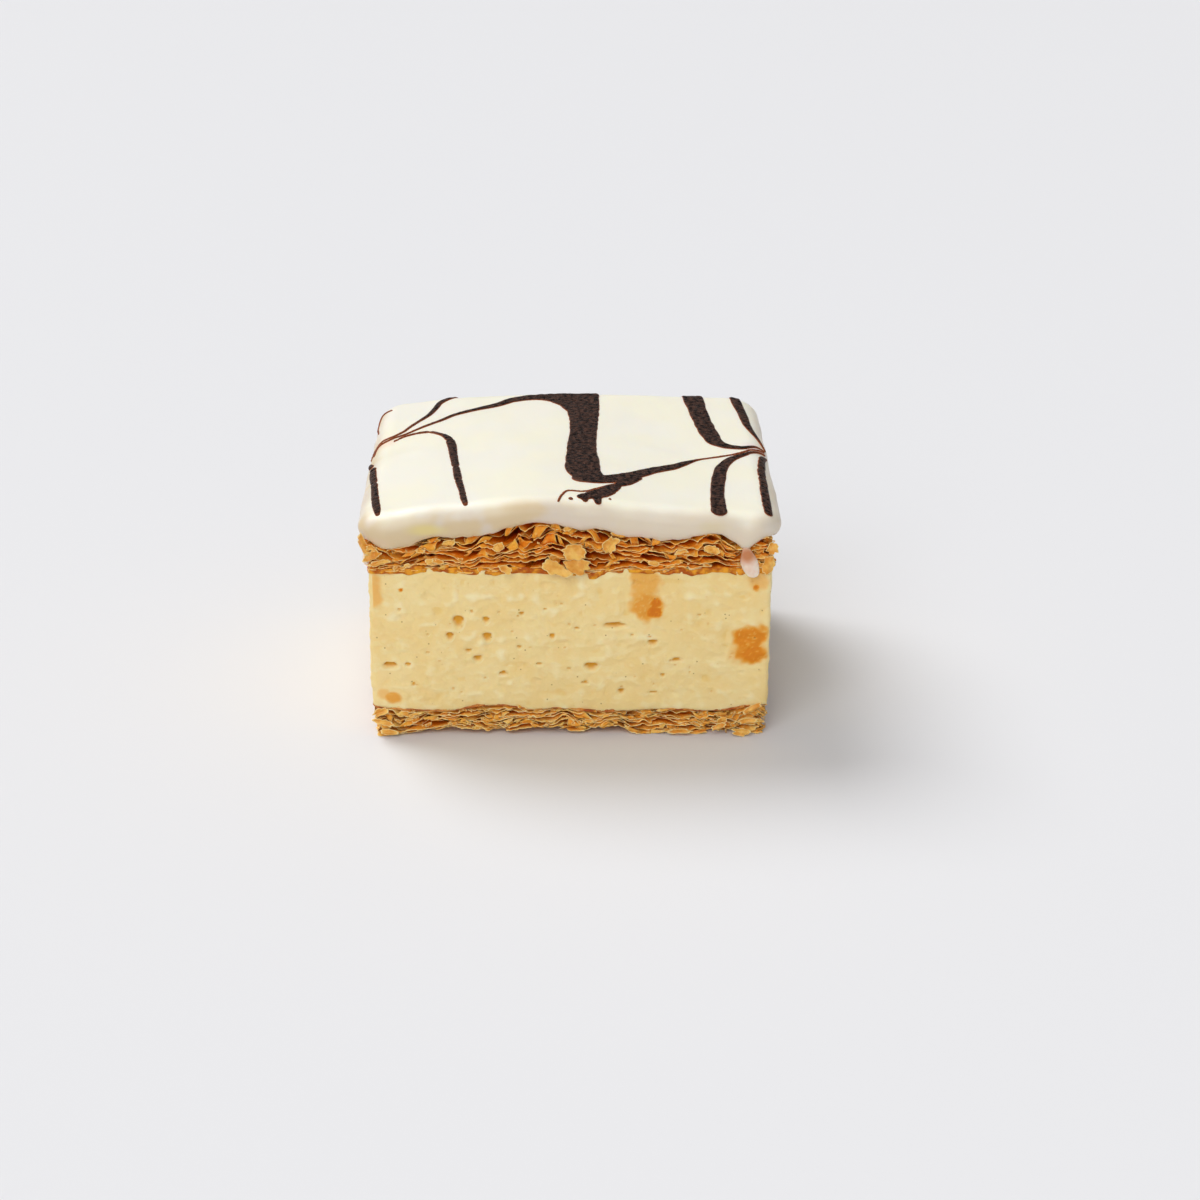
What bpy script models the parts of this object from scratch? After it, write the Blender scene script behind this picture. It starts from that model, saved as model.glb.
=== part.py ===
"""Mille feuille slice: two flaky pastry sheets with a thick custard between them, under poured icing.

Metres, +Z up. The origin is the middle of the underside. The cut face with the icing's drip lies towards -Y.
Each solid is one outline that is extruded up its side, ring by ring, and then in across its top.
"""

import math

import bmesh
import bpy
from mathutils import Vector, noise

# The slice
SLICE_WIDTH = 0.0800
SLICE_DEPTH = 0.0704
BASE_TOP = 0.0063
CUSTARD_TOP = 0.0352
GAP = 0.0003

# The lid is thinnest at its rim and puffs up in two ridges that run from front to back.
# Each ridge has its place along the width, its half width and its height.
LID_RIM = 0.0414
LID_RIDGES = ((-0.006, 0.011, 0.0046), (0.027, 0.007, 0.0016))
LID_UNEVENNESS = 0.0004
LID_HUMP = 0.009
LID_LEAVES = 5
LID_TOP_INSETS = (0.0012, 0.006, 0.014, 0.024, 0.032)

# The leaves at the cut edges of both pastry sheets
BASE_LEAVES = 4
BASE_TAPER = 0.0012
BASE_FOOT_INSET = 0.0021
PASTRY_CORNER = 0.0015
LEAF_GAP_DEPTH = 0.0011
LEAF_WAVE = 0.00035
LEAF_WAVE_LENGTH = 0.010
LEAF_RAGGEDNESS = 0.0005
LEAF_TEAR_LENGTH = 0.005

# The custard's cut sides
CUSTARD_CORNER = 0.0018
CUSTARD_EDGE = 0.0007
CUSTARD_WOBBLE = 0.00035
CUSTARD_WOBBLE_LENGTH = 0.012

# The icing's lip, side and rounded shoulder. The two shares are of the icing's height above the lid.
ICING_OVERHANG = 0.0021
ICING_CORNER = 0.0062
ICING_SHOULDER = 0.0042
ICING_LIP_DROP = 0.0009
ICING_LIP_REACH = 0.0009
ICING_BELLY_SHARE = 0.15
ICING_SHOULDER_SHARE = 0.45

# The icing's top is lowest along the front, rises to the back and is crowned over the lid's main ridge.
# Each ring across it has its inset and its corner.
ICING_FRONT_TOP = 0.0478
ICING_BACK_RISE = 0.0018
ICING_CROWN_PLACE = -0.002
ICING_CROWN_HALF_WIDTH = 0.024
ICING_FRONT_CROWN = 0.0032
ICING_BACK_CROWN = 0.0017
ICING_TOP_RINGS = ((0.012, 0.0062), (0.018, 0.0045), (0.024, 0.0030), (0.031, 0.0015))

# The drip
DRIP_PLACE = 0.0357
DRIP_RADIUS = 0.0019
DRIP_THICKNESS = 0.0009
DRIP_TIP = 0.0346
DRIP_NECK = 0.0437

# Steps round an outline
ARC_STEPS = 4
FRONT_STEPS = 22
SIDE_STEPS = 18
SHOULDER_STEPS = 4
SMOOTH_UNDER = math.radians(40)

# Where each piece starts in the noise, so that no two edges are alike
LID_TOP_LAYER = 1
BASE_LAYER = 20
CUSTARD_LAYER = 40
LID_LAYER = 60

FINISHES = {
    "pastry": ((0.60, 0.34, 0.12), 0.55),
    "custard": ((0.86, 0.72, 0.40), 0.40),
    "icing": ((0.90, 0.87, 0.77), 0.30),
}


def clear_scene():
    for old in list(bpy.data.objects):
        bpy.data.objects.remove(old)


def finish(name):
    """The named finish, made the first time it is asked for."""
    material = bpy.data.materials.get(name)
    if material is None:
        colour, roughness = FINISHES[name]
        material = bpy.data.materials.new(name)
        material.use_nodes = True
        shader = material.node_tree.nodes["Principled BSDF"]
        shader.inputs["Base Color"].default_value = (*colour, 1.0)
        shader.inputs["Roughness"].default_value = roughness
        shader.inputs["Metallic"].default_value = 0.0
    return material


def ripple(x, y, length, layer):
    """Smooth unevenness from about -1 to 1, with humps about length metres across."""
    return 1.6 * noise.noise(Vector((x / length, y / length, 3.7 * layer + 0.5)))


def outline(inset, corner):
    """Points round the slice's rectangle, taken in by inset, with rounded corners."""
    run_x = SLICE_WIDTH / 2 - inset - corner
    run_y = SLICE_DEPTH / 2 - inset - corner
    centres = [(run_x, -run_y), (run_x, run_y), (-run_x, run_y), (-run_x, -run_y)]
    points = []
    for turn, (centre_x, centre_y) in enumerate(centres):
        for step in range(ARC_STEPS + 1):
            angle = math.radians(90 * (turn - 1 + step / ARC_STEPS))
            x = centre_x + corner * math.cos(angle)
            y = centre_y + corner * math.sin(angle)
            points.append(Vector((x, y)))
        steps = FRONT_STEPS if turn % 2 else SIDE_STEPS
        next_x, next_y = centres[(turn + 1) % 4]
        start = points[-1]
        along = Vector((next_x - centre_x, next_y - centre_y))
        points.extend(start + along * step / steps for step in range(1, steps))
    return points


def ring(inset, corner, height, raggedness=0.0, tear=LEAF_TEAR_LENGTH, layer=0):
    """An outline at a height, which may be a function of x and y. Raggedness only takes it further in."""
    points = []
    for flat in outline(inset, corner):
        pull = raggedness * (1 + ripple(flat.x, flat.y, tear, layer)) / 2
        flat = flat * (1 - max(0.0, pull) / flat.length)
        level = height(flat.x, flat.y) if callable(height) else height
        points.append(Vector((flat.x, flat.y, level)))
    return points


def loft(name, rings, material):
    """One closed skin: the first ring is capped, and the cap is extruded through each further ring."""
    skin = bmesh.new()
    bottom = skin.faces.new([skin.verts.new(point) for point in rings[0]])
    cap = bottom
    for points in rings[1:]:
        grown = bmesh.ops.extrude_face_region(skin, geom=[cap])["geom"]
        if cap is not bottom:
            skin.faces.remove(cap)
        cap = next(item for item in grown if isinstance(item, bmesh.types.BMFace))
        for vert, point in zip(cap.verts, points, strict=True):
            vert.co = point
    bmesh.ops.recalc_face_normals(skin, faces=skin.faces)
    mesh = bpy.data.meshes.new(name)
    skin.to_mesh(mesh)
    skin.free()
    mesh.materials.append(finish(material))
    mesh.shade_smooth()
    mesh.set_sharp_from_angle(angle=SMOOTH_UNDER)
    piece = bpy.data.objects.new(name, mesh)
    bpy.context.scene.collection.objects.link(piece)
    return piece


def lid_top(x, y):
    """The lid's upper surface, on which the icing lies."""
    swell = LID_UNEVENNESS * ripple(x, y, LID_HUMP, LID_TOP_LAYER)
    for middle, half_width, height in LID_RIDGES:
        swell += height * math.exp(-(((x - middle) / half_width) ** 2))
    return LID_RIM + swell


def leaf_rings(leaves, floor, ceiling, taper, first_layer):
    """The side of a stack of leaves: each leaf's ragged rim, then the gap above it, which lies further in."""
    rings = []
    levels = 2 * leaves
    for step in range(levels):
        share = (step + 0.5) / levels
        in_gap = step % 2

        def height(x, y, share=share, step=step):
            wave = LEAF_WAVE * ripple(x, y, LEAF_WAVE_LENGTH, first_layer + step // 2)
            return floor + share * (ceiling(x, y) - floor) + wave

        inset = taper * (1 - share) + in_gap * LEAF_GAP_DEPTH
        rings.append(
            ring(inset, PASTRY_CORNER, height, LEAF_RAGGEDNESS, layer=first_layer + step)
        )
    return rings


def base_pastry():
    """The bottom sheet: flat underneath, narrower towards its foot."""
    foot = ring(BASE_FOOT_INSET, PASTRY_CORNER, 0.0, LEAF_RAGGEDNESS, layer=BASE_LAYER)
    sides = leaf_rings(BASE_LEAVES, 0.0, lambda x, y: BASE_TOP, BASE_TAPER, BASE_LAYER + 1)
    top = ring(LEAF_GAP_DEPTH, PASTRY_CORNER, BASE_TOP)
    return loft("base_pastry", [foot, *sides, top], "pastry")


def custard():
    """The set custard: a block with soft edges and slightly uneven cut sides."""
    floor = BASE_TOP + GAP
    lowest = floor + CUSTARD_EDGE
    highest = CUSTARD_TOP - CUSTARD_EDGE
    sides = []
    for step in range(5):
        height = lowest + (highest - lowest) * step / 4
        sides.append(
            ring(
                0.0,
                CUSTARD_CORNER,
                height,
                CUSTARD_WOBBLE,
                CUSTARD_WOBBLE_LENGTH,
                CUSTARD_LAYER + step,
            )
        )
    bottom = ring(CUSTARD_EDGE, CUSTARD_CORNER, floor)
    top = ring(CUSTARD_EDGE, CUSTARD_CORNER, CUSTARD_TOP)
    return loft("custard", [bottom, *sides, top], "custard")


def lid_pastry():
    """The top sheet: its rim follows the two ridges, and the icing fills the hollows between them."""
    floor = CUSTARD_TOP + GAP
    foot = ring(LEAF_GAP_DEPTH, PASTRY_CORNER, floor)
    sides = leaf_rings(LID_LEAVES, floor, lid_top, 0.0, LID_LAYER)
    top = [ring(inset, PASTRY_CORNER, lid_top) for inset in LID_TOP_INSETS]
    return loft("lid_pastry", [foot, *sides, *top], "pastry")


def icing_top(x, y):
    """The icing's upper surface."""
    back = min(1.0, max(0.0, y / SLICE_DEPTH + 0.5))
    height = ICING_FRONT_CROWN + (ICING_BACK_CROWN - ICING_FRONT_CROWN) * back
    crown = height * math.exp(-(((x - ICING_CROWN_PLACE) / ICING_CROWN_HALF_WIDTH) ** 2))
    return ICING_FRONT_TOP + ICING_BACK_RISE * back + crown


def drip():
    """A run of icing down the front of the pastry: a flattened drop that hangs from the lip."""
    bpy.ops.mesh.primitive_uv_sphere_add(segments=16, ring_count=12, radius=1.0)
    drop = bpy.context.object
    drop.name = "drip_shape"
    drop.scale = (DRIP_RADIUS, DRIP_THICKNESS, (DRIP_NECK - DRIP_TIP) / 2)
    front = SLICE_DEPTH / 2 + ICING_OVERHANG
    drop.location = (DRIP_PLACE, DRIP_THICKNESS - front, (DRIP_NECK + DRIP_TIP) / 2)
    bpy.ops.object.transform_apply(location=True, rotation=False, scale=True)
    drop.hide_render = True
    drop.display_type = "WIRE"
    return drop


def icing():
    """The poured icing: it lies on the lid, rolls over its rim in a soft lip, and rounds off at the shoulder.

    Its underside keeps twice the gap to the lid inside the rim, where the two are faceted differently.
    """

    def above_lid(share):
        return lambda x, y: lid_top(x, y) + share * (icing_top(x, y) - lid_top(x, y))

    underside = []
    for inset in reversed(LID_TOP_INSETS):
        underside.append(ring(inset, PASTRY_CORNER, lambda x, y: lid_top(x, y) + 2 * GAP))
    rim = ring(-GAP, PASTRY_CORNER, lambda x, y: lid_top(x, y) + GAP)
    lip = ring(-ICING_LIP_REACH, ICING_CORNER / 2, lambda x, y: lid_top(x, y) - ICING_LIP_DROP)
    belly = ring(-ICING_OVERHANG, ICING_CORNER, above_lid(ICING_BELLY_SHARE))
    shoulder = []
    for step in range(SHOULDER_STEPS + 1):
        angle = math.radians(90 * step / SHOULDER_STEPS)
        inset = ICING_SHOULDER * (1 - math.cos(angle)) - ICING_OVERHANG
        share = ICING_SHOULDER_SHARE + (1 - ICING_SHOULDER_SHARE) * math.sin(angle)
        shoulder.append(ring(inset, ICING_CORNER, above_lid(share)))
    top = [ring(inset, corner, icing_top) for inset, corner in ICING_TOP_RINGS]
    piece = loft("icing", [*underside, rim, lip, belly, *shoulder, *top], "icing")
    union = piece.modifiers.new("drip", "BOOLEAN")
    union.operation = "UNION"
    union.solver = "EXACT"
    union.object = drip()
    return piece


clear_scene()
base_pastry()
custard()
lid_pastry()
icing()
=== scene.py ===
import math

import bmesh
import bpy
import numpy as np
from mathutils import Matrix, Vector, noise


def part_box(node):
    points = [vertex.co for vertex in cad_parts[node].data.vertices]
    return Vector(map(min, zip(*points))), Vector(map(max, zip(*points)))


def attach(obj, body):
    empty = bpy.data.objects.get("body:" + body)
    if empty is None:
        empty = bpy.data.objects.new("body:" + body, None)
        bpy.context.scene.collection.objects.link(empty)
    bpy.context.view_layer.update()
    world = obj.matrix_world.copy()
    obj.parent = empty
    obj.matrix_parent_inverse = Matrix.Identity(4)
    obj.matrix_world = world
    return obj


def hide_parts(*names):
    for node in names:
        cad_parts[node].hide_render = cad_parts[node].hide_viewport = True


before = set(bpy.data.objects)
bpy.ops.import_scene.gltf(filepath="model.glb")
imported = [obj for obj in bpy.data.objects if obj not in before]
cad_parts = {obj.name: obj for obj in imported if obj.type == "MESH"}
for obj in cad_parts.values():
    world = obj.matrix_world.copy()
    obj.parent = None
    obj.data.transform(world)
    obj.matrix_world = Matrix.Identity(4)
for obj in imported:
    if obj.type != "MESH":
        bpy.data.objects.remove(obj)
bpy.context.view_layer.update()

# ---------------------------------------------------------------------------------------------
# The icing. Fondant is poured warm over the top sheet of pastry and left to run. It sets with a
# skin that is crowned over the puffed pastry, rolls over the cut edges and ends in a thin lip.

MM = 0.001
ICING_HALF = np.array(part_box("icing")[1][:2]) / MM
ICING_CORNER = 6.6
ICING_SHOULDER = 4.7
ICING_BELLY = 0.45
LIP_REACH = 1.75
ICING_COLUMNS = 880

# Heights in mm at places across the slice: the skin along the front and the back, and the lip round the sides
FRONT_TOP = [(-42, 47.3), (-36, 47.9), (-30, 49.0), (-22, 49.7), (-15, 50.5), (-8, 51.0), (0, 50.9),
             (8, 50.2), (16, 49.4), (24, 48.6), (30, 48.1), (36, 47.8), (42, 47.5)]
BACK_TOP = [(-42, 48.7), (-34, 49.5), (-27, 50.3), (-16, 50.9), (-6, 51.2), (6, 51.2), (16, 51.0),
            (25, 50.6), (32, 50.4), (42, 49.8)]
FRONT_LIP = [(-42, 42.4), (-40, 41.8), (-37, 40.9), (-33, 41.2), (-30, 42.1), (-27, 43.1), (-23, 43.1),
             (-19, 43.4), (-14, 44.4), (-12, 45.2), (-7, 46.2), (-2, 45.7), (2, 44.8), (6, 44.9),
             (10, 43.4), (14, 43.1), (18, 42.5), (22, 42.7), (26, 43.4), (30, 43.5), (32.5, 42.0),
             (34.5, 40.5), (36.3, 41.3), (38, 42.2), (40, 42.7), (42, 42.9)]
BACK_LIP = [(-42, 42.6), (-35, 41.6), (-27, 42.9), (-19, 42.2), (-11, 44.1), (-4, 44.9), (4, 43.6),
            (11, 42.1), (19, 43.0), (27, 42.7), (34, 41.5), (42, 43.0)]
LEFT_LIP = [(-37, 42.2), (-28, 41.4), (-20, 42.6), (-12, 41.7), (-3, 42.8), (6, 42.0), (14, 42.9),
            (22, 41.6), (30, 42.4), (37, 42.4)]
RIGHT_LIP = [(-37, 42.8), (-29, 41.8), (-21, 42.8), (-13, 42.2), (-4, 41.4), (5, 42.6), (13, 41.9),
             (22, 42.9), (30, 41.7), (37, 42.8)]


def deselect_all():
    if bpy.context.mode != "OBJECT":
        bpy.ops.object.mode_set(mode="OBJECT")
    bpy.ops.object.select_all(action="DESELECT")


def corners_of(piece):
    """The places of a mesh's corners, as an array."""
    flat = np.empty(len(piece.data.vertices) * 3)
    piece.data.vertices.foreach_get("co", flat)
    return flat.reshape(-1, 3)


def move_corners(piece, places):
    """Moves a mesh's corners to places given in mm."""
    piece.data.vertices.foreach_set("co", (np.asarray(places) * MM).ravel())
    piece.data.update()


def give_value(piece, name, values):
    """Stores one number a corner on a mesh, for its material to read."""
    layer = piece.data.attributes.new(name, "FLOAT", "POINT")
    layer.data.foreach_set("value", np.asarray(values, float))


def uneven(places, length, seed):
    """Smooth unevenness, mostly between -1 and 1, with humps about length across."""
    shift = Vector((seed * 17.31, seed * 5.17, seed * 9.73))
    return np.array([1.6 * noise.noise(Vector(place) / length + shift) for place in places])


def soft_line(keys, at):
    """A soft curve through pairs of place and height, read at the given places."""
    place, height = np.array(keys, float).T
    slope = np.gradient(height, place)
    at = np.clip(at, place[0], place[-1])
    step = np.clip(np.searchsorted(place, at) - 1, 0, len(place) - 2)
    width = place[step + 1] - place[step]
    part = (at - place[step]) / width
    start = (1 + 2 * part) * (1 - part) ** 2 * height[step] + part * (1 - part) ** 2 * width * slope[step]
    end = part**2 * (3 - 2 * part) * height[step + 1] + part**2 * (part - 1) * width * slope[step + 1]
    return start + end


def raise_walls(name, columns, rings):
    """A disc of that many columns, extruded up and cut into rings. Gives each corner's column and ring."""
    deselect_all()
    bpy.ops.mesh.primitive_circle_add(vertices=columns, radius=1.0, fill_type="NGON")
    piece = bpy.context.object
    piece.name = piece.data.name = name
    bpy.ops.object.mode_set(mode="EDIT")
    bpy.ops.mesh.select_mode(type="FACE")
    bpy.ops.mesh.select_all(action="SELECT")
    bpy.ops.mesh.extrude_region_move(TRANSFORM_OT_translate={"value": (0, 0, rings - 1)})
    bpy.ops.mesh.select_all(action="SELECT")
    bpy.ops.mesh.normals_make_consistent(inside=False)
    bpy.ops.mesh.select_mode(type="EDGE")
    shell = bmesh.from_edit_mesh(piece.data)
    for edge in shell.edges:
        edge.select_set(abs(edge.verts[0].co.z - edge.verts[1].co.z) > 0.5)
    bmesh.update_edit_mesh(piece.data)
    bpy.ops.mesh.subdivide(number_cuts=rings - 2)
    bpy.ops.object.mode_set(mode="OBJECT")
    at = corners_of(piece)
    column = np.rint(np.arctan2(at[:, 1], at[:, 0]) / math.tau * columns).astype(int) % columns
    return piece, column, np.rint(at[:, 2]).astype(int)


def walk_round(columns, half, corner):
    """Where each column stands on a rounded rectangle: its arc's centre, from -1 to 1, and the way it faces."""
    straight = 2 * (half - corner)
    arc = corner * math.pi / 2
    knots = np.cumsum([0, straight[0], arc, straight[1], arc, straight[0], arc, straight[1], arc])
    along = np.arange(columns) / columns * knots[-1]
    centre_x = np.interp(along, knots, [-1, 1, 1, 1, 1, -1, -1, -1, -1])
    centre_y = np.interp(along, knots, [-1, -1, -1, 1, 1, 1, 1, -1, -1])
    turn = np.radians(np.interp(along, knots, [-90, -90, 0, 0, 90, 90, 180, 180, 270]))
    return np.stack([centre_x, centre_y], 1), np.stack([np.cos(turn), np.sin(turn)], 1), along


def icing_top(at):
    """The height of the icing's skin, before it turns over the edge."""
    back = np.clip(at[:, 1] / 66 + 0.5, 0, 1)
    return (1 - back) * soft_line(FRONT_TOP, at[:, 0]) + back * soft_line(BACK_TOP, at[:, 0])


def lip_line(edge, facing):
    """The height of the icing's lower edge, at points of its outline that face that way."""
    ends = np.where(facing[:, 1] < 0, soft_line(FRONT_LIP, edge[:, 0]), soft_line(BACK_LIP, edge[:, 0]))
    sides = np.where(facing[:, 0] < 0, soft_line(LEFT_LIP, edge[:, 1]), soft_line(RIGHT_LIP, edge[:, 1]))
    return facing[:, 1] ** 2 * ends + facing[:, 0] ** 2 * sides


def icing_skin(centre, facing, turn):
    """Points of the skin where it has turned over the edge: 90 degrees is flat on top, 0 is its widest, -90 the lip."""
    edge = centre + facing * ICING_CORNER
    lip = lip_line(edge, facing)
    rolled = np.where(turn > 0, ICING_SHOULDER, LIP_REACH)
    flat = centre + facing * (ICING_CORNER - rolled * (1 - np.cos(turn)))[:, None]
    over = np.where(turn > 0, ICING_BELLY + (1 - ICING_BELLY) * np.sin(turn), ICING_BELLY * (1 + np.sin(turn)))
    return np.c_[flat, lip + over * (icing_top(flat) - lip)]


def settle(at, facing):
    """Moves points of the skin by the slight unevenness that it set with."""
    at[:, 2] += 0.09 * uneven(at, 12, 1) + 0.03 * uneven(at, 4, 2)
    at[:, :2] -= facing * (0.12 + 0.12 * uneven(at, 8, 3) + 0.04 * uneven(at, 2.5, 4))[:, None]
    return at


centre, facing, along = walk_round(ICING_COLUMNS, ICING_HALF, ICING_CORNER)
centre *= ICING_HALF - ICING_CORNER
lip = lip_line(centre + facing * ICING_CORNER, facing)
underside = [16.0, 10.0, 6.5, 4.3, 3.1, 2.3]
turns = [-90, -80, -68, -56, -44, -32, -20, -9, 1, 8, 15, 22, 29, 36, 43, 50, 57, 64, 71, 78, 84, 89]
shares = [0.985, 0.955, 0.91, 0.85, 0.77, 0.68, 0.58, 0.47, 0.35, 0.23, 0.11, 0.03]
icing, column, ring = raise_walls("icing_cover", ICING_COLUMNS, len(underside) + len(turns) + len(shares))
rings = []
for inset in underside:
    flat = centre + facing * (ICING_CORNER - inset)
    rings.append(np.c_[flat, lip + 0.9])
for turn in turns:
    skin = icing_skin(centre, facing, np.full(ICING_COLUMNS, math.radians(turn)))
    ragged = 0.22 * uneven(skin * (1, 1, 0), 2.2, 5) + 0.13 * uneven(skin * (1, 1, 0), 0.9, 6)
    skin[:, 2] += ragged * max(0, -math.sin(math.radians(turn))) ** 2
    rings.append(settle(skin, facing))
for share in shares:
    flat = (centre + facing * (ICING_CORNER - ICING_SHOULDER)) * share
    rings.append(settle(np.c_[flat, icing_top(flat)], 0 * facing))
rings = np.array(rings)
move_corners(icing, rings[ring, column])
# The height over the lip, raised where the skin turns flat on top. The fondant darkens to beige by it: partly thin
# fondant over the pastry, partly painted shade of the sides that turn down.
level = np.array([0] * len(underside) + [max(0, turn - 40) / 12 for turn in turns] + [8] * len(shares))
give_value(icing, "above_lip", rings[ring, column][:, 2] - lip[column] + level[ring])
icing.data.shade_smooth()

def colour(red, green, blue):
    """A colour for a shader from its red, green and blue as a screen shows them, 0 to 255."""
    return [((part / 255 + 0.055) / 1.055) ** 2.4 if part > 10 else part / 3295 for part in (red, green, blue)] + [1]


def finish_of(name, roughness, specular=0.5):
    """A new material, its node tree and its Principled shader."""
    material = bpy.data.materials.new(name)
    material.use_nodes = True
    shader = material.node_tree.nodes["Principled BSDF"]
    shader.inputs["Roughness"].default_value = roughness
    shader.inputs["Specular IOR Level"].default_value = specular
    return material, material.node_tree, shader


def feed(tree, socket, source):
    """Links a node's output to a socket, or sets the socket's own value."""
    if isinstance(source, bpy.types.NodeSocket):
        tree.links.new(source, socket)
    else:
        socket.default_value = source


def blend(tree, share, first, second):
    """A colour between two, by a share from 0 to 1."""
    node = tree.nodes.new("ShaderNodeMix")
    node.data_type = "RGBA"
    feed(tree, node.inputs["Factor"], share)
    feed(tree, node.inputs["A"], first)
    feed(tree, node.inputs["B"], second)
    return node.outputs["Result"]


def reach(tree, value, low, high, start=0.0, end=1.0):
    """A value's soft way from low to high, as start to end."""
    node = tree.nodes.new("ShaderNodeMapRange")
    node.interpolation_type = "SMOOTHSTEP"
    for socket, source in zip(node.inputs, (value, low, high, start, end)):
        feed(tree, socket, source)
    return node.outputs["Result"]


def sum_of(tree, operation, first, second):
    node = tree.nodes.new("ShaderNodeMath")
    node.operation = operation
    feed(tree, node.inputs[0], first)
    feed(tree, node.inputs[1], second)
    return node.outputs["Value"]


def stored(tree, name):
    """One of the numbers stored on the mesh's corners."""
    node = tree.nodes.new("ShaderNodeAttribute")
    node.attribute_name = name
    return node.outputs["Fac"]


def place_mm(tree, stretch=(1, 1, 1)):
    """Object coordinates in mm."""
    where = tree.nodes.new("ShaderNodeTexCoord")
    scaled = tree.nodes.new("ShaderNodeMapping")
    scaled.inputs["Scale"].default_value = [1000 * part for part in stretch]
    tree.links.new(where.outputs["Object"], scaled.inputs["Vector"])
    return scaled.outputs["Vector"]


def clouds(tree, place, size, detail=2.0):
    """Soft cloudy noise from 0 to 1, with clouds about size mm across."""
    node = tree.nodes.new("ShaderNodeTexNoise")
    node.inputs["Scale"].default_value = 1 / size
    node.inputs["Detail"].default_value = detail
    feed(tree, node.inputs["Vector"], place)
    return node.outputs["Fac"]


def grain_group():
    """The slight unevenness of a food's surface: a coarse and a fine grain as one height."""
    group = bpy.data.node_groups.new("food_grain", "ShaderNodeTree")
    group.interface.new_socket("Place", in_out="INPUT", socket_type="NodeSocketVector")
    for name in ("Coarse", "Fine", "Fine Share"):
        group.interface.new_socket(name, in_out="INPUT", socket_type="NodeSocketFloat")
    group.interface.new_socket("Height", in_out="OUTPUT", socket_type="NodeSocketFloat")
    entry, leave = group.nodes.new("NodeGroupInput"), group.nodes.new("NodeGroupOutput")
    fields = []
    for name in ("Coarse", "Fine"):
        field = group.nodes.new("ShaderNodeTexNoise")
        field.inputs["Detail"].default_value = 2.0
        group.links.new(entry.outputs["Place"], field.inputs["Vector"])
        group.links.new(sum_of(group, "DIVIDE", 1.0, entry.outputs[name]), field.inputs["Scale"])
        fields.append(field.outputs["Fac"])
    fine = sum_of(group, "MULTIPLY", fields[1], entry.outputs["Fine Share"])
    group.links.new(sum_of(group, "ADD", fields[0], fine), leave.inputs["Height"])
    return group


FOOD_GRAIN = grain_group()


def roughen(tree, shader, place, coarse, fine, share, depth, more=None):
    """Gives a shader the bumps of the food grain, and of one more height, depth in mm."""
    grain = tree.nodes.new("ShaderNodeGroup")
    grain.node_tree = FOOD_GRAIN
    feed(tree, grain.inputs["Place"], place)
    for name, value in (("Coarse", coarse), ("Fine", fine), ("Fine Share", share)):
        grain.inputs[name].default_value = value
    height = grain.outputs["Height"]
    if more is not None:
        height = sum_of(tree, "ADD", height, more)
    bump = tree.nodes.new("ShaderNodeBump")
    bump.inputs["Strength"].default_value = 1.0
    bump.inputs["Distance"].default_value = depth * MM
    tree.links.new(height, bump.inputs["Height"])
    tree.links.new(bump.outputs["Normal"], shader.inputs["Normal"])


def smudge(tree, place, shade, middle, stretch, size, tint, strength):
    """Tints a shade round a point in mm, over an ellipsoid of that size stretched by shares along X, Y and Z."""
    away = tree.nodes.new("ShaderNodeVectorMath")
    away.operation = "SUBTRACT"
    feed(tree, away.inputs[0], place)
    away.inputs[1].default_value = middle
    scaled = tree.nodes.new("ShaderNodeVectorMath")
    scaled.operation = "DIVIDE"
    feed(tree, scaled.inputs[0], away.outputs["Vector"])
    scaled.inputs[1].default_value = stretch
    length = tree.nodes.new("ShaderNodeVectorMath")
    length.operation = "LENGTH"
    feed(tree, length.inputs[0], scaled.outputs["Vector"])
    return blend(tree, reach(tree, length.outputs["Value"], 0.2 * size, size, strength, 0.0), shade, tint)


fondant, tree, shader = finish_of("fondant", 0.30, 0.32)
place = place_mm(tree)
# Beige towards the lip and down the turned sides, lighter towards the right: partly the thin fondant showing the
# pastry, partly painted shade of the sides.
near_lip_and_side_shade = reach(tree, sum_of(tree, "ADD", stored(tree, "above_lip"), sum_of(tree, "MULTIPLY", clouds(tree, place, 6), -2.4)),
                 1.6, 7.6, 1.0, 0.0)
body = blend(tree, reach(tree, clouds(tree, place, 17), 0.35, 0.65), colour(252, 246, 224), colour(250, 245, 230))
thin_and_shaded_icing = blend(tree, reach(tree, clouds(tree, place, 7), 0.42, 0.62), colour(220, 198, 160), colour(222, 208, 190))
across = tree.nodes.new("ShaderNodeSeparateXYZ")
feed(tree, across.inputs["Vector"], place)
thin_and_shaded_icing = blend(tree, reach(tree, across.outputs["X"], -12.0, 16.0), thin_and_shaded_icing, colour(228, 214, 192))
shade = blend(tree, near_lip_and_side_shade, body, thin_and_shaded_icing)
for middle, stretch, tint, strength in (((-28.0, -37.0, 45.3), (5.4, 3, 1.9), (232, 214, 138), 0.7),
                                        ((-37.5, -36.5, 42.6), (4.0, 3, 1.4), (224, 194, 164), 0.4),
                                        ((-2.0, -37.0, 46.2), (9.0, 2.4, 1.6), (230, 208, 194), 0.35),
                                        ((12.0, -37.0, 44.0), (7.0, 3, 1.7), (230, 204, 190), 0.4),
                                        ((28.0, -36.8, 45.6), (4.2, 3, 1.8), (224, 208, 166), 0.5),
                                        ((39.5, -36.0, 45.0), (2.6, 4, 2.2), (226, 218, 206), 0.5),
                                        ((-39.0, 9.0, 48.0), (3.4, 5.0, 3), (250, 214, 190), 0.55),
                                        ((38.6, 3.0, 48.0), (3.6, 3.6, 3), (238, 214, 212), 0.75)):
    shade = smudge(tree, place, shade, middle, stretch, 1.0, colour(*tint), strength)
feed(tree, shader.inputs["Base Color"], shade)
feed(tree, shader.inputs["Roughness"], reach(tree, clouds(tree, place, 5), 0.3, 0.7, 0.30, 0.38))
shader.inputs["Subsurface Weight"].default_value = 0.25
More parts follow.
